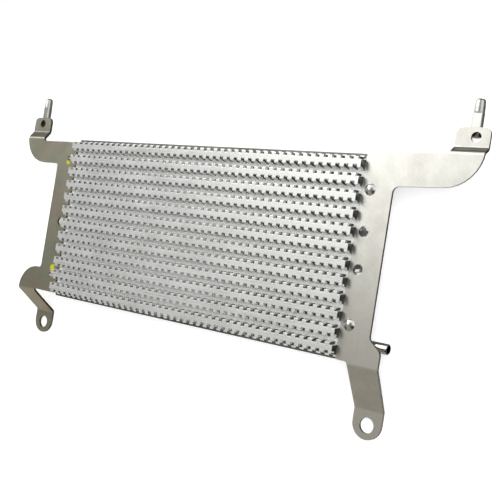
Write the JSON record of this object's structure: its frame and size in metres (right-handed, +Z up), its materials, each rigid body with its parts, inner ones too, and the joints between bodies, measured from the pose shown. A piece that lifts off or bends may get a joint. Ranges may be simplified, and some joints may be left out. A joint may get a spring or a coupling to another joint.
{
  "type": "diesel fuel cooler",
  "caption": "Flat diesel fuel cooler: a stamped multi-pass panel between lanced fin sheets, riveted to two folded steel brackets with feet, tabs and locating pins.",
  "frame": {"origin": "centre of the right foot's mounting hole, at the foot's back face, where it meets what carries the cooler", "axes": "+X along the core towards the tube ends, +Y from the front fins to the rear ones, +Z up"},
  "size_m": [0.4932, 0.033, 0.2563],
  "materials": {
    "fin_aluminium": "satin",
    "plate_aluminium": "satin",
    "turbulizer_aluminium": "satin",
    "bracket_steel": "satin zinc plate",
    "tube_steel": "bright",
    "pin_steel": "satin zinc plate",
    "rivet_metal": "bright"
  },
  "bodies": {
    "root": {"front_fin_sheet": "fin_aluminium", "rear_fin_sheet": "fin_aluminium", "front_plate": "plate_aluminium", "back_plate": "plate_aluminium", "inlet_tube": "tube_steel", "outlet_tube": "tube_steel", "left_bracket": "bracket_steel", "right_bracket": "bracket_steel", "left_upper_rivet": "rivet_metal", "left_lower_rivet": "rivet_metal", "right_upper_rivet": "rivet_metal", "right_lower_rivet": "rivet_metal", "left_locating_pin": "pin_steel", "right_locating_pin": "pin_steel", "turbulizer_1": "turbulizer_aluminium", "turbulizer_2": "turbulizer_aluminium", "turbulizer_3": "turbulizer_aluminium", "turbulizer_4": "turbulizer_aluminium", "turbulizer_5": "turbulizer_aluminium", "turbulizer_6": "turbulizer_aluminium"}
  },
  "joints": []
}
